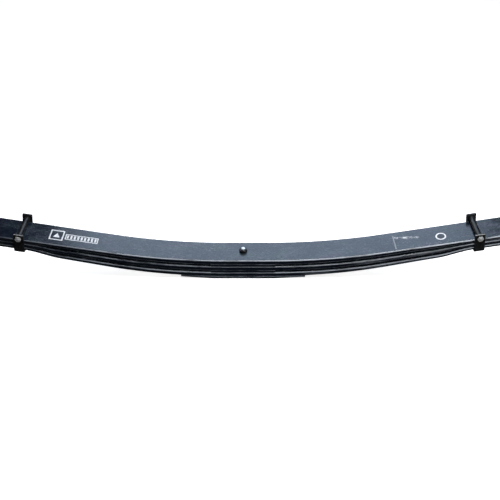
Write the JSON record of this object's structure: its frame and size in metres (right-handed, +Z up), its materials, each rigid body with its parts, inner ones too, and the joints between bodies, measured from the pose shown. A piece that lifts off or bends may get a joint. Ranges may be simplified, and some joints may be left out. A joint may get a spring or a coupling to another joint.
{
  "type": "leaf spring",
  "caption": "Parabolic leaf spring for a lorry axle: tapered steel leaves with spacers at the centre, a centre bolt, rebound clips near both ends, and rolled eyes with rubber bushes.",
  "frame": {"origin": "where the centre bolt's axis meets the bottom face that sits on the axle", "axes": "+X along the spring towards the rear eye, +Y across it along the eye bores, +Z up through the centre bolt"},
  "size_m": [1.8028, 0.1201, 0.2632],
  "materials": {
    "spring_paint": "satin",
    "clip_paint": "satin",
    "zinc": "satin",
    "bright_steel": "brushed",
    "rubber": "matte",
    "pad_plastic": "matte"
  },
  "bodies": {
    "centre": {"main_leaf": "spring_paint", "second_leaf": "spring_paint", "third_leaf": "spring_paint", "upper_spacer": "spring_paint", "lower_spacer": "spring_paint", "bottom_plate": "spring_paint", "centre_bolt": "bright_steel", "centre_nut": "clip_paint"},
    "front_arm": {"front_clip_strap": "clip_paint", "front_clip_tube": "clip_paint", "front_clip_bolt": "zinc", "front_clip_washer": "clip_paint", "front_clip_nut": "zinc", "front_clip_rivet": "clip_paint", "front_upper_tip_pad": "pad_plastic", "front_lower_tip_pad": "pad_plastic", "front_bush_outer_sleeve": "bright_steel", "front_bush_rubber": "rubber"},
    "rear_arm": {"rear_clip_strap": "clip_paint", "rear_clip_tube": "clip_paint", "rear_clip_bolt": "zinc", "rear_clip_washer": "clip_paint", "rear_clip_nut": "zinc", "rear_clip_rivet": "clip_paint", "rear_upper_tip_pad": "pad_plastic", "rear_lower_tip_pad": "pad_plastic", "rear_bush_outer_sleeve": "bright_steel", "rear_bush_rubber": "rubber"},
    "front_bush_inner": {"front_bush_inner_sleeve": "bright_steel"},
    "rear_bush_inner": {"rear_bush_inner_sleeve": "bright_steel"}
  },
  "joints": [
    {"name": "front_arm_flex", "type": "hinge", "parent": "centre", "child": "front_arm", "pos_m": [-0.343, 0, 0.067], "axis": [0, -1, 0], "range_deg": [-2, 11], "stiffness_Nm_per_rad": 45000, "deforming": ["main_leaf", "second_leaf", "third_leaf"]},
    {"name": "rear_arm_flex", "type": "hinge", "parent": "centre", "child": "rear_arm", "pos_m": [0.373, 0, 0.067], "axis": [0, 1, 0], "range_deg": [-2, 11], "stiffness_Nm_per_rad": 45000, "deforming": ["main_leaf", "second_leaf", "third_leaf"]},
    {"name": "front_bush_twist", "type": "hinge", "parent": "front_arm", "child": "front_bush_inner", "pos_m": [-0.8232, 0, 0.22067], "axis": [0, 1, 0], "range_deg": [-15, 15], "stiffness_Nm_per_rad": 700},
    {"name": "rear_bush_twist", "type": "hinge", "parent": "rear_arm", "child": "rear_bush_inner", "pos_m": [0.86105, 0, 0.2222], "axis": [0, 1, 0], "range_deg": [-15, 15], "stiffness_Nm_per_rad": 700}
  ]
}
